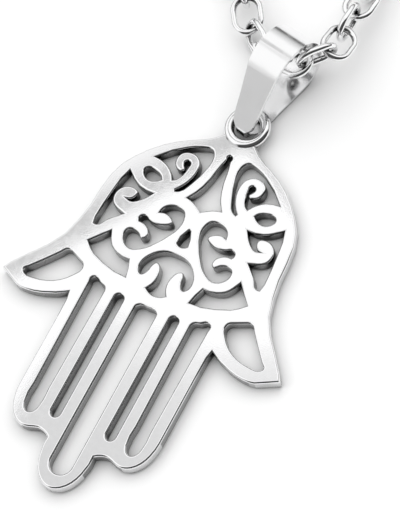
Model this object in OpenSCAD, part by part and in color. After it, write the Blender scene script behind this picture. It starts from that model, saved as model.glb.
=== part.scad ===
// Hamsa necklace: an openwork hand on a folded bail and a cable chain.
// It lies on its back: the ground is z = 0, X runs from thumb to thumb, and
// +Y runs from the fingertips to the bail. The origin is the middle of the
// palm on the back face, just below the small triangular opening.

/* [Hand] */
// Thickness of the cast plate
plate_t = 1.2; // [1:0.1:1.4]

/* [Eye] */
// Height of the eye's centre above the palm's middle
eye_y = 12.47; // [12.45:0.01:12.5]
// Radius from the eye's centre to the middle of its wire
eye_r = 1.6; // [1.6:0.01:1.62]
// Thickness of the eye's round wire
eye_wire = 0.92; // [0.84:0.02:0.92]

/* [Bail] */
// Thickness of the folded strip
strip_t = 0.36; // [0.32:0.02:0.38]
// Half width of the strip where it passes through the eye
strip_narrow = 0.5; // [0.44:0.02:0.5]
// Half width of the strip at the fold that holds the chain
strip_wide = 1.64; // [1.56:0.02:1.64]
// Radius of the small fold round the eye, to the middle of the strip
small_fold_r = 0.72; // [0.7:0.01:0.74]
// Radius of the large fold round the chain, to the middle of the strip
large_fold_r = 2.98; // [2.96:0.01:3]
// Distance between the centres of the two folds
fold_gap = 5.9; // [5.88:0.01:5.92]

/* [Chain] */
// Outer length of a link
link_l = 3.86; // [3.84:0.01:3.87]
// Outer width of a link
link_w = 2.95; // [2.94:0.01:2.96]
// Thickness of a link's wire
link_wire = 0.58; // [0.54:0.01:0.58]
// Spacing of the links along the chain
link_pitch = 2.5; // [2.48:0.01:2.52]
// Links of the right strand beyond the laid ones near the bail (even)
strand_links = 82; // [60:2:90]

/* [Clasp] */
// Length of the barrel
barrel_l = 9.6; // [9:0.2:12]
// Radius from an eyelet's centre to the middle of its wire
eyelet_r = 1.2; // [1.2:0.02:1.3]

/* [Hidden] */
$fn = 48;

// Gap by which the bail and the links clear the ground
ground_gap = 0.02;
// Gap between the last links and the clasp's eyelets
hook_gap = 0.2;
// The barrel is as thick as a link is wide, and its ends are chamfered
barrel_r = link_w / 2;
barrel_chamfer = 0.5;
// Distance of an eyelet's centre from the barrel's end
EYELET_OUT = 0.9;

// The smooth edges turn at most this far between two of their points
turn_step = 14;

// Tables of the hand's edges. Columns: x, y, and 1 where the edge has a
// sharp corner. Each is the right half of an edge that crosses the middle,
// or the right one of a mirrored pair.

// Outer edge, from the middle of the top, round the thumb, to the fingertip
OUTLINE = [
    [0, 11.15, 0], [1.5, 11.15, 0], [1.8, 10.9, 0], [2.3, 10.47, 0], [3.0, 10.08, 0],
    [4.0, 9.58, 0], [5.0, 9.03, 0], [6.0, 8.32, 0], [7.0, 7.37, 0], [7.8, 6.4, 0],
    [8.45, 5.4, 0], [8.9, 4.1, 0], [9.1, 2.5, 0], [9.18, 0.9, 0], [9.45, -0.7, 0],
    [9.9, -2.3, 0], [10.75, -3.7, 0], [12.0, -5.2, 0], [13.0, -6.45, 0], [13.42, -7.12, 1],
    [12.5, -7.57, 0], [11.5, -8.08, 0], [10.5, -8.16, 0], [9.0, -7.88, 0], [7.9, -7.47, 0],
    [6.95, -6.92, 1], [6.82, -7.6, 0], [6.8, -9.0, 0], [6.8, -15.8, 0], [6.62, -17.1, 0],
    [6.25, -18.0, 0], [5.6, -18.7, 0], [4.8, -19.0, 0], [4.1, -18.9, 0], [3.4, -18.67, 0],
    [2.8, -18.75, 0], [2.25, -19.05, 1], [2.28, -19.8, 0], [2.1, -20.8, 0], [1.7, -21.8, 0],
    [1.0, -22.57, 0], [0, -22.92, 0]
];

// Bell shape under the eye, half of it, from its head to its foot
BELL = [
    [0, 9.52, 0], [0.22, 9.3, 0], [0.17, 9.05, 0], [0.3, 8.5, 0], [0.42, 7.9, 0],
    [0.55, 7.0, 0], [0.8, 6.1, 0], [1.1, 5.4, 0], [1.6, 4.65, 1], [0.9, 4.46, 0],
    [0.4, 4.18, 0], [0, 3.92, 1]
];

// Long curl beside the bell, with the dot and the hook at its middle
SIDE_CURL = [
    [2.95, 4.8, 1], [2.6, 4.95, 0], [2.0, 5.9, 0], [1.6, 6.9, 0], [1.35, 8.0, 0],
    [1.38, 8.9, 0], [1.75, 9.43, 0], [2.6, 9.35, 0], [3.8, 8.8, 0], [4.9, 8.05, 0],
    [5.98, 7.02, 1], [4.9, 6.8, 0], [4.2, 6.35, 0], [3.65, 5.65, 1], [3.35, 5.85, 0],
    [3.05, 6.4, 0], [2.92, 7.2, 0], [2.92, 7.6, 0], [3.15, 7.74, 0], [3.42, 7.5, 0],
    [3.3, 7.17, 0], [3.12, 6.9, 0], [3.25, 6.68, 0], [3.6, 6.67, 0], [4.05, 6.92, 0],
    [4.27, 7.5, 0], [4.05, 8.2, 0], [3.4, 8.52, 0], [2.7, 8.45, 0], [2.2, 8.0, 0],
    [2.0, 7.2, 0], [2.1, 6.4, 0], [2.45, 5.6, 0], [3.0, 4.9, 1]
];

// Pointed oval between the curls
OVAL = [
    [4.55, 5.3, 1], [4.8, 5.62, 0], [5.4, 5.88, 0], [6.05, 5.93, 0], [6.33, 5.65, 0],
    [6.1, 5.13, 0], [5.55, 4.87, 0], [5.0, 4.98, 0]
];

// Edge curl, which runs up the side of the palm and hooks inwards
EDGE_CURL = [
    [7.48, 5.03, 1], [7.75, 4.1, 0], [7.92, 2.8, 0], [8.05, 1.4, 0], [8.12, 0.1, 0],
    [8.03, -0.5, 1], [7.75, -0.5, 0], [7.1, 0.3, 0], [6.1, 1.25, 1], [6.8, 1.46, 0],
    [7.4, 1.8, 0], [7.67, 2.4, 0], [7.5, 3.2, 0], [6.95, 3.67, 0], [6.3, 3.73, 0],
    [5.85, 3.5, 0], [5.85, 3.05, 0], [6.43, 2.6, 1], [6.1, 2.52, 0], [5.4, 2.9, 0],
    [4.9, 3.45, 0], [4.6, 3.9, 1], [5.3, 3.9, 0], [6.0, 4.05, 0], [6.8, 4.47, 0]
];

// Volute beside the arch, a fat comma with a hook in its bowl
VOLUTE = [
    [1.85, 3.57, 0], [1.4, 3.45, 0], [1.08, 3.0, 0], [0.98, 2.3, 0], [1.2, 1.45, 0],
    [1.8, 0.45, 0], [2.5, -0.47, 0], [3.2, -1.05, 0], [4.0, -1.35, 0], [4.7, -1.07, 0],
    [5.1, -0.4, 0], [5.0, 0.12, 0], [4.5, 0.3, 0], [4.0, 0.14, 0], [3.6, -0.18, 0],
    [3.22, -0.05, 0], [3.2, 0.5, 0], [3.55, 0.93, 0], [4.48, 1.17, 1], [4.58, 1.5, 0],
    [4.25, 1.8, 0], [3.7, 1.57, 0], [3.0, 1.47, 0], [2.2, 1.65, 0], [1.72, 2.08, 0],
    [2.0, 2.43, 0], [3.18, 2.58, 1], [3.0, 3.1, 0], [2.55, 3.45, 0]
];

// Arch at the middle of the palm, half of it
ARCH = [
    [0, -0.38, 0], [0.8, -0.43, 0], [1.5, -0.75, 0], [2.1, -1.35, 0], [2.45, -2.15, 0],
    [2.35, -2.82, 0], [2.05, -3.05, 0], [1.68, -2.7, 0], [1.52, -2.0, 0], [1.25, -1.6, 0],
    [0.9, -1.72, 0], [0.58, -2.3, 0], [0.48, -3.0, 0], [0.6, -3.55, 0], [0.92, -4.07, 1],
    [0.5, -4.3, 0], [0, -4.4, 0]
];

// Small triangle above the arch, half of it
TRIANGLE = [
    [0, 2.05, 0], [0.13, 1.85, 0], [0.5, 0.62, 1], [0.25, 0.46, 0], [0, 0.42, 0]
];

// Swept opening below the volute
SWEEP = [
    [6.28, -0.57, 1], [6.0, -1.2, 0], [5.55, -1.8, 0], [4.8, -2.18, 0], [3.6, -2.3, 1],
    [3.3, -3.1, 0], [3.12, -3.8, 1], [4.2, -3.73, 0], [5.4, -3.42, 0], [6.6, -2.97, 0],
    [7.68, -2.13, 1], [6.95, -1.35, 0]
];

// Opening of the thumb
THUMB = [
    [8.75, -3.48, 0], [8.3, -3.63, 0], [7.6, -3.93, 0], [7.05, -4.25, 0], [6.95, -4.65, 0],
    [7.35, -5.35, 0], [8.2, -6.2, 0], [9.2, -6.7, 0], [10.4, -6.94, 0], [11.3, -6.9, 0],
    [11.57, -6.62, 0], [11.2, -6.18, 0], [10.2, -5.05, 0], [9.3, -3.98, 0], [9.02, -3.58, 0]
];

// Slot of the outer finger, whose top slants up to the outer side
OUTER_SLOT = [
    [4.3, -5.35, 0], [4.85, -5.12, 0], [5.4, -4.83, 0], [5.68, -4.95, 0], [5.7, -5.6, 0],
    [5.56, -15.3, 0], [5.53, -17.1, 0], [5.3, -17.55, 0], [4.92, -17.73, 0], [4.52, -17.55, 0],
    [4.3, -17.1, 0], [4.28, -15.3, 0], [4.17, -5.7, 0]
];

// Long slot of the middle finger, half of it
MIDDLE_SLOT = [
    [0, -5.57, 0], [0.65, -5.57, 0], [1, -5.95, 0], [1, -20.6, 0], [0.72, -21.3, 0],
    [0, -21.6, 0]
];

// Narrow slot between two fingers
NARROW_SLOT = [
    [2.65, -5.4, 0], [3.0, -5.58, 0], [3.08, -5.85, 0], [3.08, -16.85, 0], [2.95, -17.15, 0],
    [2.65, -17.28, 0], [2.35, -17.15, 0], [2.22, -16.85, 0], [2.22, -5.85, 0], [2.3, -5.58, 0]
];

// Front view of the bail's strip, half of it: the neck in the eye, its
// shoulders, and the taper. The heights are above the small fold's middle.
STRIP = [
    [0, -1.1, 0], [strip_narrow, -1.1, 1], [strip_narrow, -0.5, 0], [0.7, -0.32, 0],
    [0.97, 0, 0], [1.08, 0.5, 0], [1.14, 1.1, 0], [1.23, 2.3, 0], [1.35, 3.5, 0],
    [1.48, 4.7, 0], [strip_wide - 0.05, 5.9, 0], [strip_wide, 7.1, 0],
    [strip_wide, 9.3, 1], [0, 9.3, 0]
];

// Links laid near the bail, from the ones that hook together inside it.
// Columns: x, y, z, azimuth from +Y towards +X, rise, and roll from flat.
LAID_LEFT = [
    [-0.76, 19.21, 2.35, 101, 11, 122], [-2.98, 20.15, 1.56, 126, 10, 58],
    [-4.82, 21.85, 1.63, 146, -6, 0], [-6.38, 23.87, 1.86, 139, 2, 90],
    [-7.97, 25.82, 1.51, 137, 5, 0]
];
LAID_RIGHT = [
    [1.66, 18.76, 3.01, 99, 18, 3], [3.51, 19.73, 3.81, 38, -12, 98],
    [4.55, 21.72, 3.31, 0, -19, 22], [4.16, 24.00, 2.74, -1, -13, 94],
    [4.06, 26.41, 2.05, 2, -9, 179], [3.97, 28.62, 1.53, 5, -3, 90]
];

// Bail: the middle of its small fold and its turn from +Y
BAIL_X = -0.14;
BAIL_Y = 12.64;
BAIL_TURN = -12.1;
bail_lean = asin((large_fold_r - small_fold_r) / fold_gap);
bail_z = ground_gap + strip_t / 2 + small_fold_r;
LARGE_FOLD_STEPS = 32;
SMALL_FOLD_STEPS = 10;

// The eye's wire stays this far above the bail's lower leaf
eye_clear = 0.12;
eye_z = ground_gap + strip_t + eye_clear + eye_wire / 2;

// Curve through the rows of a table. A row is passed along the circle through
// it and its neighbours, and a leg longer than this stays straight.
straight_leg = 5;
function spot(t, i) = let (r = t[(i + len(t)) % len(t)]) [r[0], r[1]];
function sharp(t, i) = t[(i + len(t)) % len(t)][2] == 1;
function unit(v) = v / norm(v);
function leg(t, i) = spot(t, i + 1) - spot(t, i);
function passing(t, i) =
    let (a = leg(t, i - 1), b = leg(t, i))
    norm(b) > straight_leg ? unit(b)
        : norm(a) > straight_leg ? unit(a)
        : unit(a * norm(b) / norm(a) + b * norm(a) / norm(b));
function mirrored(d, v) = unit(2 * (d * v) * v / (v * v) - d);
function start_way(t, i) =
    !sharp(t, i) ? passing(t, i)
        : sharp(t, i + 1) ? unit(leg(t, i))
        : mirrored(passing(t, i + 1), leg(t, i));
function end_way(t, i) =
    !sharp(t, i + 1) ? passing(t, i + 1)
        : sharp(t, i) ? unit(leg(t, i))
        : mirrored(passing(t, i), leg(t, i));
function turned(a, b) = acos(min(1, max(-1, a * b)));
function on_curve(p, a, b, q, u) =
    pow(1 - u, 3) * p + 3 * u * pow(1 - u, 2) * a + 3 * u * u * (1 - u) * b + pow(u, 3) * q;
function leg_points(t, i) =
    let (
        p = spot(t, i), q = spot(t, i + 1), a = start_way(t, i), b = end_way(t, i),
        turn = turned(a, unit(q - p)) + turned(unit(q - p), b),
        reach = norm(q - p) / (3 * pow(cos(turn / 4), 2)),
        steps = max(1, ceil(turn / turn_step))
    )
    [for (k = [0 : steps - 1]) on_curve(p, p + reach * a, q - reach * b, q, k / steps)];
function smooth(t) = [for (i = [0 : len(t) - 1]) each leg_points(t, i)];
function whole(t) = concat(t, [for (i = [len(t) - 2 : -1 : 1]) [-t[i][0], t[i][1], t[i][2]]]);

module cut_whole(table) { polygon(smooth(whole(table))); }
module cut_pair(table) {
    for (side = [0, 1]) {
        mirror([side, 0]) polygon(smooth(table));
    }
}
module hand_shape() {
    difference() {
        polygon(smooth(whole(OUTLINE)));
        cut_whole(BELL);
        cut_whole(TRIANGLE);
        cut_whole(ARCH);
        cut_whole(MIDDLE_SLOT);
        for (table = [SIDE_CURL, OVAL, EDGE_CURL, VOLUTE, SWEEP, THUMB, NARROW_SLOT, OUTER_SLOT]) {
            cut_pair(table);
        }
    }
}
module hand() {
    color("gainsboro") {
        linear_extrude(plate_t) hand_shape();
        translate([0, eye_y, eye_z]) rotate_extrude() translate([eye_r, 0]) circle(d = eye_wire);
    }
}

// Side view of the strip: a loop round both folds, this far off its middle.
// X runs along the bail, from the small fold's middle to the large one's.
function arc(middle, r, from, to, steps) = [
    for (k = [0 : steps])
        let (a = from + (to - from) * k / steps)
        [middle + r * cos(a), r * sin(a)]
];
function strip_loop(off) = concat(
    arc(fold_gap, large_fold_r + off, 90 + bail_lean, -90 - bail_lean, LARGE_FOLD_STEPS),
    arc(0, small_fold_r + off, 270 - bail_lean, 90 + bail_lean, SMALL_FOLD_STEPS)
);
module bail_strip() {
    linear_extrude(3 * strip_wide, center = true) difference() {
        polygon(strip_loop(strip_t / 2));
        polygon(strip_loop(-strip_t / 2));
    }
}
module bail() {
    color("silver")
        translate([BAIL_X, BAIL_Y, bail_z])
        rotate([0, 0, BAIL_TURN])
        rotate([bail_lean, 0, 0])
        intersection() {
            rotate([90, 0, 90]) bail_strip();
            linear_extrude(3 * large_fold_r, center = true) cut_whole(STRIP);
        }
}

// One oval link, flat, its length along X
link_bend = (link_w - link_wire) / 2;
link_bar = link_l - link_w;
module link() {
    for (side = [-1, 1]) {
        translate([side * link_bar / 2, 0, 0])
            rotate([0, 0, -side * 90])
            rotate_extrude(angle = 180)
            translate([link_bend, 0])
            circle(d = link_wire);
        translate([-link_bar / 2, side * link_bend, 0])
            rotate([0, 90, 0])
            cylinder(d = link_wire, h = link_bar);
    }
}
module placed(p, azimuth, rise, roll) {
    translate(p) rotate([roll, -rise, 90 - azimuth]) link();
}
module laid(table) {
    for (row = table) {
        placed([row[0], row[1], row[2]], row[3], row[4], row[5]);
    }
}

// The two strands leave the laid links straight and meet in a wide round
// loop. side is 1 for the right strand and -1 for the left one.
RIGHT_WAY = 6;
LEFT_WAY = -41;
loop_axis = (RIGHT_WAY + LEFT_WAY) / 2;
loop_spread = (RIGHT_WAY - LEFT_WAY) / 2;
function way(azimuth) = [sin(azimuth), cos(azimuth)];
function crossed(a, b) = a[0] * b[1] - a[1] * b[0];
function last(t) = [t[len(t) - 1][0], t[len(t) - 1][1]];
right_from =
    crossed(last(LAID_RIGHT) - last(LAID_LEFT), way(LEFT_WAY))
    / crossed(way(RIGHT_WAY), way(LEFT_WAY));
apex = last(LAID_RIGHT) - right_from * way(RIGHT_WAY);
left_from = norm(last(LAID_LEFT) - apex);
left_links = strand_links + 1;
// From the clasp's middle to that of the link hooked into its eyelet
hook_reach = barrel_l / 2 + EYELET_OUT + eyelet_r + link_l / 2 - 3 * link_wire / 2 - hook_gap;
loop_l = (strand_links + left_links) * link_pitch + right_from + left_from + 2 * hook_reach;
loop_r = loop_l / (2 / tan(loop_spread) + (180 + 2 * loop_spread) * PI / 180);
loop_leg = loop_r / tan(loop_spread);
loop_middle = apex + loop_r / sin(loop_spread) * way(loop_axis);
function heading(side, s) =
    loop_axis + side * (loop_spread - max(0, s - loop_leg) / loop_r * 180 / PI);
function on_loop(side, s) =
    s < loop_leg ? apex + s * way(heading(side, s))
        : loop_middle + loop_r * way(heading(side, s) + side * 90);
// Links next to the laid ones and to the clasp stand and lie by turns, and
// over a few links the others come to lie on one side at 45 degrees.
roll_links = 6;
full_lean = 45;
function leaning(k, count) = full_lean * min(1, k / roll_links, (count - k) / roll_links);
function link_z(lean) = ground_gap + link_wire / 2 + link_bend * cos(lean);
module strand(side, from, count, first_roll) {
    for (k = [1 : count]) {
        s = from + k * link_pitch;
        lean = leaning(k, count);
        spot = on_loop(side, s);
        placed([spot[0], spot[1], link_z(lean)], heading(side, s), 0, first_roll + 90 * k + lean);
    }
}
module chain_left() {
    color("silver") {
        laid(LAID_LEFT);
        strand(-1, left_from, left_links, 0);
    }
}
module chain_right() {
    color("silver") {
        laid(LAID_RIGHT);
        strand(1, right_from, strand_links, 90);
    }
}

// Plain barrel with an eyelet at each end, lying between the two last links
clasp_right = on_loop(1, right_from + strand_links * link_pitch);
clasp_left = on_loop(-1, left_from + left_links * link_pitch);
clasp_middle = (clasp_right + clasp_left) / 2;
clasp_way = clasp_right - clasp_left;
clasp_turn = atan2(clasp_way[1], clasp_way[0]);
barrel_half = barrel_l / 2;
module barrel() {
    rim = barrel_r - barrel_chamfer;
    side_half = barrel_half - barrel_chamfer;
    rotate([0, 90, 0])
        rotate_extrude()
        polygon([
            [0, -barrel_half], [rim, -barrel_half], [barrel_r, -side_half],
            [barrel_r, side_half], [rim, barrel_half], [0, barrel_half]
        ]);
}
module eyelet() {
    rotate_extrude() translate([eyelet_r, 0]) circle(d = link_wire);
}
module clasp() {
    color("silver")
        translate([clasp_middle[0], clasp_middle[1], ground_gap + barrel_r])
        rotate([0, 0, clasp_turn]) {
            barrel();
            translate([barrel_half + EYELET_OUT, 0, 0]) eyelet();
            translate([-barrel_half - EYELET_OUT, 0, 0]) eyelet();
        }
}

hand();
bail();
chain_left();
chain_right();
clasp();
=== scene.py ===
# %% [markdown]
# # A hamsa necklace in polished steel
# The object is an openwork hand on a folded bail and an oval cable chain, lying on a pale table.
# The CAD frame gives every size and place, in metres: X runs from thumb to thumb, +Y from the
# fingertips to the bail, and the table is z = 0. This lesson dresses that frame. It rounds the
# edges, models one chain link and lays it 176 times, and gives each piece its steel.

# %% Load the frame
import math

import bmesh
import bpy
import numpy as np
from mathutils import Matrix, Vector


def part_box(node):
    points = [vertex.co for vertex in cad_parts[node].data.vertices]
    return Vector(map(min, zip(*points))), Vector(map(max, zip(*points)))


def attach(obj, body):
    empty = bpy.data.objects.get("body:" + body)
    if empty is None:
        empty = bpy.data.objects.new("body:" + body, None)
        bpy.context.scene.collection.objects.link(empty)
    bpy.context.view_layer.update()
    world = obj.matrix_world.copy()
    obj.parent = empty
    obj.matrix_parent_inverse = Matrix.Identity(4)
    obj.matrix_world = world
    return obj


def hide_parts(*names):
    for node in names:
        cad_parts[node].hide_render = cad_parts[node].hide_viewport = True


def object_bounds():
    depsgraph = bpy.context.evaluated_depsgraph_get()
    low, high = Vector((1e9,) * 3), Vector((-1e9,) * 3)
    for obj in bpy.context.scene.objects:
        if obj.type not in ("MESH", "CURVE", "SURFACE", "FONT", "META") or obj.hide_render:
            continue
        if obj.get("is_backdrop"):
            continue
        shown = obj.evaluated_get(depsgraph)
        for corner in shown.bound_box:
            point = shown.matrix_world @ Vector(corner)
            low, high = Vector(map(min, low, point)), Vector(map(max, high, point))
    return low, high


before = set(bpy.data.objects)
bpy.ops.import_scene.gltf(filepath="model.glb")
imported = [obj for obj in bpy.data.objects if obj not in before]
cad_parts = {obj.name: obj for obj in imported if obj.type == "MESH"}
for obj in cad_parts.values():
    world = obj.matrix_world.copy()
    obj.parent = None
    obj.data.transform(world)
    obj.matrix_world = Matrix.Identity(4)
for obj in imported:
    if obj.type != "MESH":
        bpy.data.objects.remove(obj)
cad_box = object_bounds()
MM = 0.001
print("nodes:", sorted(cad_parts))
print("CAD box in mm:", [[round(c / MM, 2) for c in corner] for corner in cad_box])

# %% [markdown]
# ## The camera
# The photograph was taken from above and a little from the right, with a long lens. A camera is a
# place, a way to look and a focal length, so the three are written down as they were measured. A
# rotation matrix holds the camera's own axes in its columns: right, up, and back towards the
# viewer. Written this way nothing has to be tracked or constrained, and the view can be checked by
# eye.

# %% Place the camera
CAMERA_PLACE = Vector((101.72, -77.9, 244.7)) * MM
CAMERA_RIGHT = Vector((0.8626, 0.4624, -0.205)).normalized()
CAMERA_BACK = Vector((0.3636, -0.2851, 0.8869)).normalized()
CAMERA_UP = CAMERA_BACK.cross(CAMERA_RIGHT).normalized()
PHOTO_WIDTH = 400
FOCAL_PIXELS = 3300
SENSOR_WIDTH = 36
NEAREST, FARTHEST = 0.01, 10

lens = bpy.data.cameras.new("photo_camera")
lens.sensor_fit = "HORIZONTAL"
lens.sensor_width = SENSOR_WIDTH
lens.lens = SENSOR_WIDTH * FOCAL_PIXELS / PHOTO_WIDTH
lens.clip_start, lens.clip_end = NEAREST, FARTHEST
camera = bpy.data.objects.new("photo_camera", lens)
bpy.context.scene.collection.objects.link(camera)
turn = Matrix((CAMERA_UP.cross(CAMERA_BACK), CAMERA_UP, CAMERA_BACK)).transposed()
camera.matrix_world = Matrix.Translation(CAMERA_PLACE) @ turn.to_4x4()
bpy.context.scene.camera = camera
print("focal length in mm:", round(lens.lens, 1))

# %% [markdown]
# ## Polished steel
# Steel jewellery is tumbled and buffed until it mirrors the room, but no buffing is perfect. Wide
# soft clouds and fine hair marks make some spots a little duller than others. The effect is the
# same on every piece, only its size and strength differ, so it is one node group with named
# inputs. It gives out a roughness, a height and a shade that change over the surface; the shade
# holds painted shade in crevices. The shader itself stays outside, in each material.

# %% Name the inputs and outputs of the polish group
MARKS = {
    "Cloud Scale": 300.0,
    "Dullest": 0.2,
    "Brightest": 0.08,
    "Stretch": 1.0,
    # Above this ambient occlusion value no painted crevice shade is added.
    "Unshaded Above": 0.72,
}
polish = bpy.data.node_groups.new("polish_marks", "ShaderNodeTree")
for name, value in MARKS.items():
    socket = polish.interface.new_socket(name, in_out="INPUT", socket_type="NodeSocketFloat")
    socket.default_value = value
for name, kind in (("Roughness", "Float"), ("Height", "Float"), ("Shade", "Color")):
    polish.interface.new_socket(name, in_out="OUTPUT", socket_type="NodeSocket" + kind)
print("polish group takes:", list(MARKS))

# %% [markdown]
# Adding a node, giving it its numbers and wiring it up comes back in every tree, so two helpers do
# it. A wire reads from left to right: the node and output that a value comes from, then the node
# and input that it goes to. The clouds and the hair marks are both noise on Object coordinates, so
# they keep their size on every piece. The stretch squeezes the hairs in X, which leaves long marks
# along Y.


# %% Draw the clouds and the hair marks
def add(tree, kind, numbers=None, **settings):
    node = tree.nodes.new(kind)
    for name, value in settings.items():
        setattr(node, name, value)
    for name, value in (numbers or {}).items():
        node.inputs[name].default_value = value
    return node


def wire(tree, *wires):
    for source, output, target, socket in wires:
        tree.links.new(source.outputs[output], target.inputs[socket])


HAIRS_PER_METRE = 9000.0
THIN_CLOUD, THICK_CLOUD = 0.3, 0.7
entry = add(polish, "NodeGroupInput")
leave = add(polish, "NodeGroupOutput")
spot = add(polish, "ShaderNodeTexCoord")
squeeze = add(polish, "ShaderNodeCombineXYZ", {"Y": 1.0, "Z": 1.0})
stretched = add(polish, "ShaderNodeVectorMath", operation="MULTIPLY")
clouds = add(polish, "ShaderNodeTexNoise", {"Detail": 3.0})
hairs = add(polish, "ShaderNodeTexNoise", {"Scale": HAIRS_PER_METRE, "Detail": 2.0})
spread = add(polish, "ShaderNodeMapRange", {"From Min": THIN_CLOUD, "From Max": THICK_CLOUD})
wire(
    polish,
    (entry, "Stretch", squeeze, "X"),
    (spot, "Object", stretched, 0),
    (squeeze, "Vector", stretched, 1),
    (stretched, "Vector", hairs, "Vector"),
    (hairs, "Fac", leave, "Height"),
    (spot, "Object", clouds, "Vector"),
    (entry, "Cloud Scale", clouds, "Scale"),
    (clouds, "Fac", spread, "Value"),
    (entry, "Brightest", spread, "To Min"),
    (entry, "Dullest", spread, "To Max"),
    (spread, "Result", leave, "Roughness"),
)
print("polish group has", len(polish.nodes), "nodes so far")

# %% [markdown]
# Where two links overlap, and inside the eye, the colour gets painted shade, as if little light
# reached there. The ambient occlusion node finds such places, because it measures how much room a
# point has. Its value and a faint tint from the clouds are multiplied into the shade.

# %% Paint shade into the crevices
CREVICE_REACH = 1.0 * MM
TIGHTEST_ROOM, CREVICE_SHADE_TONE = 0.38, 0.02
CLOUD_TINT = 0.93
tint = add(polish, "ShaderNodeMapRange", {"To Min": CLOUD_TINT})
room = add(polish, "ShaderNodeAmbientOcclusion", {"Distance": CREVICE_REACH}, samples=8)
# Painted shade: where the ambient occlusion finds little room, the colour darkens towards the
# crevice tone.
painted_crevice_shade = add(polish, "ShaderNodeMapRange", {"From Min": TIGHTEST_ROOM, "To Min": CREVICE_SHADE_TONE})
shade = add(polish, "ShaderNodeMath", operation="MULTIPLY")
wire(
    polish,
    (clouds, "Fac", tint, "Value"),
    (room, "AO", painted_crevice_shade, "Value"),
    (entry, "Unshaded Above", painted_crevice_shade, "From Max"),
    (tint, "Result", shade, 0),
    (painted_crevice_shade, "Result", shade, 1),
    (shade, "Value", leave, "Shade"),
)
print("polish group has", len(polish.nodes), "nodes")

# %% [markdown]
# Each steel is a metallic Principled shader, which takes its reflectance from Base Color. The cast
# hand is buffed to a mirror, the strip of the bail has long marks along its length, and the wire of
# the links is a little duller and gets the most painted crevice shade.

# %% Mix the three steels
BLUER = 1.005
HAIR_STRENGTH, HAIR_DEPTH = 0.03, 0.01 * MM


def principled(material):
    return next(n for n in material.node_tree.nodes if n.type == "BSDF_PRINCIPLED")


def steel_material(name, tone, numbers):
    steel = bpy.data.materials.new(name)
    steel.use_nodes = True
    tree = steel.node_tree
    shader = principled(steel)
    shader.inputs["Metallic"].default_value = 1.0
    marks = add(tree, "ShaderNodeGroup", {**MARKS, **numbers}, name="marks", node_tree=polish)
    tones = {"Factor": 1.0, "A": (tone, tone, tone * BLUER, 1)}
    mixing = {"data_type": "RGBA", "blend_type": "MULTIPLY"}
    colour = add(tree, "ShaderNodeMix", tones, name="colour", **mixing)
    bump = add(tree, "ShaderNodeBump", {"Strength": HAIR_STRENGTH, "Distance": HAIR_DEPTH})
    wire(
        tree,
        (marks, "Shade", colour, "B"),
        (colour, "Result", shader, "Base Color"),
        (marks, "Roughness", shader, "Roughness"),
        (marks, "Height", bump, "Height"),
        (bump, "Normal", shader, "Normal"),
    )
    return steel


CAST_MARKS = {"Cloud Scale": 2200.0, "Brightest": 0.015, "Dullest": 0.04}
STRIP_MARKS = {"Cloud Scale": 700.0, "Brightest": 0.1, "Dullest": 0.22, "Stretch": 6.0}
# The wire's higher value spreads the painted crevice shade further.
WIRE_MARKS = {"Cloud Scale": 500.0, "Brightest": 0.05, "Dullest": 0.12, "Unshaded Above": 0.88}
cast_steel = steel_material("cast_steel", tone=0.93, numbers=CAST_MARKS)
strip_steel = steel_material("strip_steel", tone=0.92, numbers=STRIP_MARKS)
wire_steel = steel_material("wire_steel", tone=0.94, numbers=WIRE_MARKS)
print("materials:", [m.name for m in bpy.data.materials])

# %% [markdown]
# The cast hand needs one thing more. The walls of its cut-outs are too narrow for the buff, so they
# stay duller, with the fine streaks of the cutter: noise a twentieth of a millimetre wide, less
# than one pixel of the photograph. Their colour also gets painted shade, strongest on the inner
# walls.
# Up and down show in the surface normal, so the wall mask is full where the normal's Z is near zero
# and fades over the round of the rim. It works from every side and follows no camera. The outer
# edge is a wall too but gets less painted shade, so an attribute of the mesh says which walls are
# inner.

# %% Paint shade on the walls of the hand
WALL_SHADE_NAME = "painted_wall_shade"
ROUND_TILT, WALL_TILT = 0.35, 0.08
STREAKS_PER_METRE = 20000.0
# Painted shade: the streaked wall tone is far darker than the face.
STREAKED_WALL_SHADE = {"From Min": 0.35, "From Max": 0.65, "To Min": 0.15, "To Max": 0.42}
WALL_ROUGHNESS = 0.26

cast = cast_steel.node_tree
shader, marks, colour = principled(cast_steel), cast.nodes["marks"], cast.nodes["colour"]
facing = add(cast, "ShaderNodeNewGeometry")
parts = add(cast, "ShaderNodeSeparateXYZ")
tilt = add(cast, "ShaderNodeMath", operation="ABSOLUTE")
wall = add(cast, "ShaderNodeMapRange", {"From Min": ROUND_TILT, "From Max": WALL_TILT})
painted_wall_shade = add(cast, "ShaderNodeAttribute", attribute_name=WALL_SHADE_NAME)
shaded_wall = add(cast, "ShaderNodeMath", operation="MULTIPLY")
spot = add(cast, "ShaderNodeTexCoord")
streaks = add(cast, "ShaderNodeTexNoise", {"Scale": STREAKS_PER_METRE})
streaked_wall_shade = add(cast, "ShaderNodeMapRange", STREAKED_WALL_SHADE)
wall_streaks_and_shade = add(cast, "ShaderNodeMath", operation="MULTIPLY")
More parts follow.
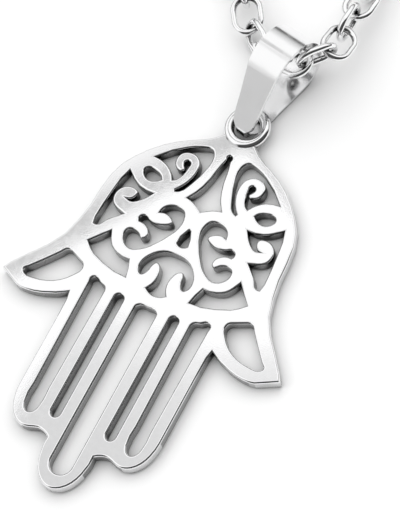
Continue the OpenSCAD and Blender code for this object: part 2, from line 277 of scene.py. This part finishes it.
# Painted shade: on the walls the colour is mixed towards the dark streaked tone.
darker = add(cast, "ShaderNodeMix", data_type="RGBA")
duller = add(cast, "ShaderNodeMix", {"B": WALL_ROUGHNESS}, data_type="FLOAT")
wire(
    cast,
    (facing, "Normal", parts, "Vector"),
    (parts, "Z", tilt, 0),
    (tilt, "Value", wall, "Value"),
    (wall, "Result", shaded_wall, 0),
    (painted_wall_shade, "Fac", shaded_wall, 1),
    (spot, "Object", streaks, "Vector"),
    (streaks, "Fac", streaked_wall_shade, "Value"),
    (streaked_wall_shade, "Result", wall_streaks_and_shade, 0),
    (marks, "Shade", wall_streaks_and_shade, 1),
    (shaded_wall, "Value", darker, "Factor"),
    (colour, "Result", darker, "A"),
    (wall_streaks_and_shade, "Value", darker, "B"),
    (darker, "Result", shader, "Base Color"),
    (wall, "Result", duller, "Factor"),
    (marks, "Roughness", duller, "A"),
    (duller, "Result", shader, "Roughness"),
)
print("cast steel has", len(cast.nodes), "nodes")

# %% [markdown]
# ## The hand
# The real hand is a thin plate, cut through and then tumbled. Operators act on whatever is
# selected, and the frame arrives with all its nodes selected, so each step starts by picking one
# piece and nothing else. A CAD node is made of loose triangles, and its own mesh may not be
# changed. The piece therefore starts as a copy: its doubled corners are merged and its flat
# triangles are dissolved into whole faces, which leaves only the edges that the real metal has.

# %% Copy the hand as a clean mesh
MERGE_REACH = 0.0005 * MM
FLAT_DEGREES = 0.2


def pick(piece):
    bpy.ops.object.select_all(action="DESELECT")
    piece.select_set(True)
    bpy.context.view_layer.objects.active = piece


def clean_copy(node, name, flat_degrees):
    piece = bpy.data.objects.new(name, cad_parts[node].data.copy())
    bpy.context.scene.collection.objects.link(piece)
    pick(piece)
    bpy.ops.mesh.customdata_custom_splitnormals_clear()
    bpy.ops.object.mode_set(mode="EDIT")
    bpy.ops.mesh.select_all(action="SELECT")
    bpy.ops.mesh.remove_doubles(threshold=MERGE_REACH)
    bpy.ops.mesh.dissolve_limited(angle_limit=math.radians(flat_degrees))
    bpy.ops.object.mode_set(mode="OBJECT")
    print(name, "starts with", len(piece.data.polygons), "faces")
    return piece


hand = clean_copy("hand", "openwork_hand", FLAT_DEGREES)

# %% [markdown]
# Tumbling with small stones rounds every rim by about two tenths of a millimetre, and that tiny
# round is what draws the bright and dark lines round each opening. A bevel on the edges between the
# two faces and the upright walls does the same. Edges are picked in code, by which way the faces on
# their two sides look, so the round eye, which is already a torus, keeps its shape.

# %% Round the rims of the hand
PARTS = {"VERT": "verts", "EDGE": "edges", "FACE": "faces"}
RIM_ROUND = 0.2 * MM
LYING, UPRIGHT = 0.999, 0.01


def pick_parts(piece, kind, wanted):
    bpy.ops.mesh.select_mode(type=kind)
    bpy.ops.mesh.select_all(action="DESELECT")
    shape = bmesh.from_edit_mesh(piece.data)
    shape.normal_update()
    found = [part for part in getattr(shape, PARTS[kind]) if wanted(part)]
    for part in found:
        part.select_set(True)
    shape.select_flush_mode()
    bmesh.update_edit_mesh(piece.data)
    return len(found)


def is_rim(edge):
    slopes = [abs(face.normal.z) for face in edge.link_faces]
    return any(s > LYING for s in slopes) and any(s < UPRIGHT for s in slopes)


pick(hand)
bpy.ops.object.mode_set(mode="EDIT")
print("rim edges:", pick_parts(hand, "EDGE", is_rim))
bpy.ops.mesh.bevel(
    offset=RIM_ROUND, segments=4, profile=0.5, clamp_overlap=False, loop_slide=False
)
bpy.ops.object.mode_set(mode="OBJECT")

# %% [markdown]
# A piece is finished in the same way each time. Smooth shading joins the small flats of a round and
# stops at sharp edges. Weighted normals let the large flat faces decide, so that they stay level.
# Then the piece gets its steel and hangs from the root body, and the CAD node it stands for is
# hidden.

# %% Finish the hand
SMOOTH_DEGREES = 35
PLATE_LEVEL = 0.998


def finish_piece(piece, node, steel, is_flat):
    pick(piece)
    bpy.ops.object.shade_smooth_by_angle(angle=math.radians(SMOOTH_DEGREES))
    bpy.ops.object.mode_set(mode="EDIT")
    pick_parts(piece, "FACE", is_flat)
    bpy.ops.mesh.mod_weighted_strength(set=True, face_strength="STRONG")
    bpy.ops.object.mode_set(mode="OBJECT")
    even = piece.modifiers.new("even_normals", "WEIGHTED_NORMAL")
    even.keep_sharp = True
    even.use_face_influence = True
    bpy.ops.object.modifier_apply(modifier=even.name)
    piece.data.materials.clear()
    piece.data.materials.append(steel)
    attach(piece, "root")
    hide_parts(node)
    triangles = sum(len(p.vertices) - 2 for p in piece.data.polygons)
    print(piece.name, "has", triangles, "triangles")


def is_plate_face(face):
    return abs(face.normal.z) > PLATE_LEVEL


finish_piece(hand, "hand", cast_steel, is_plate_face)

# %% [markdown]
# A wall is an inner one where metal stands close in front of it. From each upright face three rays
# look out, one straight and two aslant, and the shortest way to metal says how much painted shade
# the face gets.

# %% Mark the walls that get the most painted shade
TIGHT, WIDE = 5 * MM, 9 * MM
LEAST_WALL_SHADE = 0.3
LEAST_UPRIGHT = 0.3
HALF_PLATE = 0.6 * MM
STEP_OUT = 0.3 * MM
ASLANT = 0.9


def room_before(start, out):
    nearest = WIDE
    for aslant in (-ASLANT, 0.0, ASLANT):
        way = Matrix.Rotation(aslant, 3, "Z") @ out
        met, metal, _, _ = hand.ray_cast(start, way, distance=WIDE)
        nearest = min(nearest, (metal - start).length) if met else nearest
    return nearest


plate = hand.data
wall_shade = plate.attributes.new(WALL_SHADE_NAME, "FLOAT", "FACE")
for face in plate.polygons:
    out = Vector((face.normal.x, face.normal.y, 0))
    if out.length > LEAST_UPRIGHT:
        out.normalize()
        start = Vector((face.center.x, face.center.y, HALF_PLATE)) + out * STEP_OUT
        # Painted shade: the closer the metal in front, the more shade is painted on the wall.
        wall_shadiness = (WIDE - room_before(start, out)) / (WIDE - TIGHT)
        wall_shade.data[face.index].value = min(1.0, max(LEAST_WALL_SHADE, wall_shadiness))
print("inner faces:", sum(value.value > LEAST_WALL_SHADE for value in wall_shade.data))

# %% [markdown]
# A lapped face is dead flat up to its rim, and a mirror shows the slightest tilt. So the shading
# normals of the two faces are set one by one: each corner of the mesh that touches a flat face
# takes the normal of that face, and the round of the rim starts from there.

# %% Level the two faces
SAME_SIDE = 0.8
level = {v: p.normal.copy() for p in plate.polygons if is_plate_face(p) for v in p.vertices}
normals = [corner.vector.copy() for corner in plate.corner_normals]
for face in plate.polygons:
    for corner, vertex in zip(face.loop_indices, face.vertices):
        if vertex in level and level[vertex].dot(face.normal) > SAME_SIDE:
            normals[corner] = level[vertex]
plate.normals_split_custom_set(normals)
print("levelled vertices:", len(level))

# %% [markdown]
# ## The bail
# The bail is a tapered strip of sheet, folded round the eye at its narrow end and round the chain
# at its wide end. Sheet is cut with a blade and its edges are broken so that it doesn't scratch.
# The edges that turn by more than 40 degrees are those cut edges, and a small bevel breaks them.
# The folds themselves are many short flats, which smooth shading joins into one bend.

# %% Break the edges of the bail
BAIL_BREAK = 0.05 * MM
CUT_EDGE_DEGREES = 40
LEAF_AREA = 0.2 * MM * MM


def is_cut_edge(edge):
    return edge.calc_face_angle(0.0) > math.radians(CUT_EDGE_DEGREES)


bail = clean_copy("bail", "folded_bail", FLAT_DEGREES)
pick(bail)
bpy.ops.object.mode_set(mode="EDIT")
print("cut edges:", pick_parts(bail, "EDGE", is_cut_edge))
bpy.ops.mesh.bevel(offset=BAIL_BREAK, segments=2, profile=0.5, clamp_overlap=True)
bpy.ops.object.mode_set(mode="OBJECT")
finish_piece(bail, "bail", strip_steel, lambda f: f.calc_area() > LEAF_AREA)

# %% [markdown]
# ## One link
# A cable chain is cut from a coil of wire that was wound round an oval bar. A torus is the same
# thing wound round a round bar, so the link starts as one and its two halves are moved apart. The
# segments that cross the line between the halves, top and bottom, become the straight bars. A link
# near the bail gets more faces than one far away. With 12 segments one ring lies on that line at
# the top and one at the bottom, and both go with the same half, so a far link is a little fuller at
# one end. It takes an odd number of segments on each side, as the near link has, to avoid that.

# %% Model a link
LINK_LENGTH = 3.86 * MM
LINK_WIDTH = 2.95 * MM
LINK_WIRE = 0.58 * MM


def model_link(name, round_segments, wire_sides):
    bpy.ops.object.select_all(action="DESELECT")
    bpy.ops.mesh.primitive_torus_add(
        major_segments=round_segments,
        minor_segments=wire_sides,
        major_radius=(LINK_WIDTH - LINK_WIRE) / 2,
        minor_radius=LINK_WIRE / 2,
    )
    piece = bpy.context.active_object
    piece.name = name
    bpy.ops.object.mode_set(mode="EDIT")
    for side in (1, -1):
        pick_parts(piece, "VERT", lambda v: v.co.x * side > 0)
        bpy.ops.transform.translate(value=(side * (LINK_LENGTH - LINK_WIDTH) / 2, 0, 0))
    bpy.ops.object.mode_set(mode="OBJECT")
    bpy.ops.object.shade_smooth()
    size_mm = [round(s / MM, 2) for s in piece.dimensions]
    print(name, "has", len(piece.data.polygons), "faces, size in mm", size_mm)
    return piece


near_link = model_link("near_link", round_segments=30, wire_sides=12)
far_link = model_link("far_link", round_segments=12, wire_sides=5)

# %% [markdown]
# ## The chain
# The CAD frame already holds every link in its place. A copy of a chain node is separated into its
# loose solids, and each one tells where its link lies. The spread of its surface is widest along
# the link's length, less wide across it and least through its wire, so the three main directions of
# that spread are the link's own axes.


# %% Find the place of every link
def link_places(node):
    loose = clean_copy(node, node + "_loose", 0.0)
    pick(loose)
    bpy.ops.object.mode_set(mode="EDIT")
    bpy.ops.mesh.select_all(action="SELECT")
    bpy.ops.mesh.separate(type="LOOSE")
    bpy.ops.object.mode_set(mode="OBJECT")
    places = []
    for solid in list(bpy.context.selected_objects):
        count = len(solid.data.polygons)
        middle, area = np.empty(count * 3), np.empty(count)
        solid.data.polygons.foreach_get("center", middle)
        solid.data.polygons.foreach_get("area", area)
        middle = middle.reshape(-1, 3)
        centre = (middle * area[:, None]).sum(0) / area.sum()
        offset = middle - centre
        axes = np.linalg.eigh((offset * area[:, None]).T @ offset)[1]
        along, across = Vector(axes[:, 2]), Vector(axes[:, 1])
        turn = Matrix((along, across, along.cross(across))).transposed()
        places.append(Matrix.Translation(centre) @ turn.to_4x4())
        bpy.data.meshes.remove(solid.data)
    print(node, "has", len(places), "links")
    return places


places = {node: link_places(node) for node in ("chain_left", "chain_right")}

# %% [markdown]
# A copy of the modelled link is laid in each place, with a mesh of its own. At the end all copies
# are joined into one piece for each half of the chain, and the two models of the link are removed.

# %% Lay both halves
NEAR_BAIL = 25 * MM
bail_low, bail_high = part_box("bail")
bail_middle = (bail_low + bail_high) / 2


def lay_chain(node, name):
    laid = []
    for place in places[node]:
        near = (place.translation - bail_middle).length < NEAR_BAIL
        mesh = (near_link if near else far_link).data.copy()
        mesh.transform(place)
        copy = bpy.data.objects.new("laid_link", mesh)
        bpy.context.scene.collection.objects.link(copy)
        laid.append(copy)
    pick(laid[0])
    for copy in laid:
        copy.select_set(True)
    bpy.ops.object.join()
    chain = bpy.context.active_object
    chain.name = name
    chain.data.name = name
    chain.data.materials.clear()
    chain.data.materials.append(wire_steel)
    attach(chain, "root")
    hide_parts(node)
    print(name, "has", 2 * len(chain.data.polygons), "triangles")


lay_chain("chain_left", "cable_chain_left")
lay_chain("chain_right", "cable_chain_right")
for pattern in (near_link, far_link):
    bpy.data.meshes.remove(pattern.data)

# %% [markdown]
# ## The clasp
# The clasp is turned from bar, and its CAD solid is exact: a chamfered barrel and two round
# eyelets. Nothing on it needs a new shape, so the node stays as it is and only gets its steel.

# %% Dress the clasp
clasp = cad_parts["clasp"]
for slot in clasp.material_slots:
    slot.material = wire_steel
print("clasp slots:", [s.material.name for s in clasp.material_slots])

# %% [markdown]
# ## The table
# Jewellery is photographed on white card. The card is a large plane just under the metal, matt, and
# declared as part of the stage so that it isn't taken for a piece of the necklace.

# %% Make the table
TABLE_SIZE = 6
TABLE_DROP = 0.02 * MM
CARD_FINISH = {
    "Base Color": (0.86, 0.86, 0.86, 1),
    "Roughness": 0.9,
    "Specular IOR Level": 0.1,
}
bpy.ops.object.select_all(action="DESELECT")
bpy.ops.mesh.primitive_plane_add(size=TABLE_SIZE, location=(0, 0, -TABLE_DROP))
table = bpy.context.active_object
table.name = "table"
card = bpy.data.materials.new("white_card")
card.use_nodes = True
for socket, value in CARD_FINISH.items():
    principled(card).inputs[socket].default_value = value
table.data.materials.append(card)
table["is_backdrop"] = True
print("table width in metres:", round(table.dimensions.x, 2))

# %% [markdown]
# ## The tent
# Polished metal shows its surroundings, so the light is part of the look. The tent is the world,
# and its brightness is worked out from the direction of a ray. That takes three small helpers: one
# adds a sum or product, one draws a soft curve through given stops of place and tone, and one says
# how much a ray goes towards a direction.

# %% Open the world's node tree
world = bpy.data.worlds.new("tent")
world.use_nodes = True
bpy.context.scene.world = world
sky = world.node_tree
backdrop = next(n for n in sky.nodes if n.type == "BACKGROUND")
ray = add(sky, "ShaderNodeTexCoord")
ray_parts = add(sky, "ShaderNodeSeparateXYZ")
wire(sky, (ray, "Generated", ray_parts, "Vector"))


def sky_math(kind, *values):
    node = add(sky, "ShaderNodeMath", operation=kind)
    for socket, value in zip(node.inputs, values):
        if isinstance(value, (int, float)):
            socket.default_value = value
        else:
            sky.links.new(value, socket)
    return node.outputs["Value"]


def sky_curve(value, stops):
    start, span = stops[0][0], stops[-1][0] - stops[0][0]
    ramp = add(sky, "ShaderNodeValToRGB")
    ramp.color_ramp.interpolation = "EASE"
    points = ramp.color_ramp.elements
    while len(points) < len(stops):
        points.new(1.0)
    for point, (place, tone) in zip(points, stops):
        point.position = (place - start) / span
        point.color = (tone, tone, tone, 1)
    share = sky_math("DIVIDE", sky_math("SUBTRACT", value, start), span)
    sky.links.new(share, ramp.inputs["Fac"])
    return ramp.outputs["Color"]


def sky_towards(direction):
    node = add(sky, "ShaderNodeVectorMath", operation="DOT_PRODUCT")
    node.inputs[1].default_value = Vector(direction).normalized()
    wire(sky, (ray, "Generated", node, 0))
    return node.outputs["Value"]


print("world tree has", len(sky.nodes), "nodes so far")

# %% [markdown]
# The tent is white, it gets duller towards the table, and on the camera's side it has a dark
# opening. That opening draws the black lines in the links and along every rim that faces the
# camera, and it lets the shadows fall towards the camera. One grey card stands low on the left,
# where the front leaf of the bail mirrors it.

# %% Hang the tent
WALL_TONES = ((0.0, 0.04), (0.1, 0.12), (0.3, 0.65), (0.6, 1.0))
OPENING_WAY = (0.75, -0.66, 0.1)
OPENING_TONES = ((0.12, 1.0), (0.34, 0.07))
GREY_CARD_WAY = (-0.594, -0.776, 0.2)
GREY_CARD_TONES = ((0.9, 0.0), (0.97, 0.62))
TENT_LIGHT = 1.1

tent_wall = sky_curve(ray_parts.outputs["Z"], WALL_TONES)
opening = sky_curve(sky_towards(OPENING_WAY), OPENING_TONES)
grey_card = sky_curve(sky_towards(GREY_CARD_WAY), GREY_CARD_TONES)
tent = sky_math("MULTIPLY", sky_math("MULTIPLY", tent_wall, opening), TENT_LIGHT)
tent = sky_math("MAXIMUM", tent, grey_card)
print("world tree has", len(sky.nodes), "nodes so far")

# %% [markdown]
# ## The ceiling panel
# The flat face of the hand mirrors only a small patch of the ceiling, so what hangs there decides
# how the whole face looks. A ray that leaves the face at a given place goes up at a known slope, so
# the slope, scaled by the camera's height, gives the place on the face back, in millimetres.

# %% Find the spot of the face that mirrors a ray
LEAST_RISE = 0.05
rise = sky_math("MAXIMUM", ray_parts.outputs["Z"], LEAST_RISE)
rises = add(sky, "ShaderNodeCombineXYZ")
for socket in rises.inputs:
    sky.links.new(rise, socket)
slope = add(sky, "ShaderNodeVectorMath", operation="DIVIDE")
mirrored_spot = add(sky, "ShaderNodeVectorMath", operation="MULTIPLY_ADD")
mirrored_spot.inputs[1].default_value = Vector((1, 1, 1)) * CAMERA_PLACE.z / MM
mirrored_spot.inputs[2].default_value = CAMERA_PLACE / MM
spot_parts = add(sky, "ShaderNodeSeparateXYZ")
wire(
    sky,
    (ray, "Generated", slope, 0),
    (rises, "Vector", slope, 1),
    (slope, "Vector", mirrored_spot, 0),
    (mirrored_spot, "Vector", spot_parts, "Vector"),
)
spot_x, spot_y = spot_parts.outputs["X"], spot_parts.outputs["Y"]
print("camera height in mm:", round(CAMERA_PLACE.z / MM, 1))

# %% [markdown]
# In those millimetres the patch is easy to draw: a white panel with crisp upper edges that fades
# towards the fingers. The upper edges are slanted lines. The fade starts a little earlier on the
# right thumb, and it is held back on the bar at the far left.

# %% Light the patch that the face mirrors
LEFT_LEAN, LEFT_START = 0.69, -7.3
LEFT_TONES = ((-0.1, 1.0), (0.7, 0.53), (2.7, 0.57), (4.3, 0.83), (5.5, 0.88))
RIGHT_LEAN = 0.6
RIGHT_TONES = ((11.1, 1.0), (11.9, 0.56), (15.0, 0.66))
BAR_EDGE, BAR_DELAY = 5.7, 10.0
THUMB_EDGE, THUMB_LEAD = 6.0, 0.5
LOWER_TONES = ((5.0, 1.0), (8.5, 0.8), (12.0, 0.71), (17.0, 0.66), (26.0, 0.62))
PANEL_LIGHT = 1.18

past_left = sky_math("SUBTRACT", sky_math("MULTIPLY_ADD", spot_y, LEFT_LEAN, LEFT_START), spot_x)
past_right = sky_math("MULTIPLY_ADD", spot_x, RIGHT_LEAN, spot_y)
on_bar = sky_math("MINIMUM", sky_math("ADD", spot_x, BAR_EDGE), 0.0)
on_thumb = sky_math("MAXIMUM", sky_math("SUBTRACT", spot_x, THUMB_EDGE), 0.0)
bar_delay = sky_math("MULTIPLY", on_bar, BAR_DELAY)
thumb_lead = sky_math("MULTIPLY", on_thumb, THUMB_LEAD)
past_lower = sky_math("SUBTRACT", sky_math("ADD", bar_delay, thumb_lead), spot_y)
panel = sky_math(
    "MULTIPLY", sky_curve(past_left, LEFT_TONES), sky_curve(past_right, RIGHT_TONES)
)
panel = sky_math("MULTIPLY", panel, sky_curve(past_lower, LOWER_TONES))
panel = sky_math("MULTIPLY", panel, PANEL_LIGHT)
print("world tree has", len(sky.nodes), "nodes so far")

# %% [markdown]
# The patch lies where the face throws a ray that comes from the camera: straight back up, turned
# over in X and Y. There the panel takes the place of the tent, with a soft border.

# %% Hang the panel in the tent
MIRROR_WAY = (-CAMERA_BACK.x, -CAMERA_BACK.y, CAMERA_BACK.z)
PATCH_BORDER = ((0.975, 0.0), (0.99, 1.0))
overhead = sky_curve(sky_towards(MIRROR_WAY), PATCH_BORDER)
mixed = add(sky, "ShaderNodeMix", data_type="FLOAT")
for name, value in (("Factor", overhead), ("A", tent), ("B", panel)):
    sky.links.new(value, mixed.inputs[name])
wire(sky, (mixed, "Result", backdrop, "Color"))
backdrop.inputs["Strength"].default_value = 1.0
print("world tree has", len(sky.nodes), "nodes")

# %% [markdown]
# ## The lamp
# The tent alone would light the card unevenly and leave it grey. A very wide soft lamp hangs right
# over the necklace and lifts the card to white. Being wide, it leaves the floor of each narrow
# cut-out a little darker than the open card, as in the photograph.
# The colours are shown without a film curve, so white is white.

# %% Hang the lamp
LAMP_PLACE = Vector((0.08, 0.04, 0.6))
LAMP_WIDTH = 2.6
LAMP_WATTS = 12.5
lamp = bpy.data.lights.new("lamp", "AREA")
lamp.shape = "DISK"
lamp.size = LAMP_WIDTH
lamp.energy = LAMP_WATTS
lamp_holder = bpy.data.objects.new("lamp", lamp)
bpy.context.scene.collection.objects.link(lamp_holder)
lamp_holder.location = LAMP_PLACE
lamp_holder.rotation_euler = LAMP_PLACE.to_track_quat("Z", "Y").to_euler()
lamp_holder.visible_camera = False
lamp_holder.visible_glossy = False
bpy.context.scene.view_settings.view_transform = "Standard"
print("lamp height in metres:", round(lamp_holder.location.z, 2))

# %% [markdown]
# ## Print the sizes and finish
# The box of the CAD frame and the box of the dressed object are printed side by side. The
# dressed object must stay inside the CAD box.

# %% Print the boxes and finish
size = {"cad": [list(c) for c in cad_box], "visual": [list(c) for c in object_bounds()]}
for name, box in size.items():
    print(name, "box in mm:", [[round(c / MM, 2) for c in corner] for corner in box])
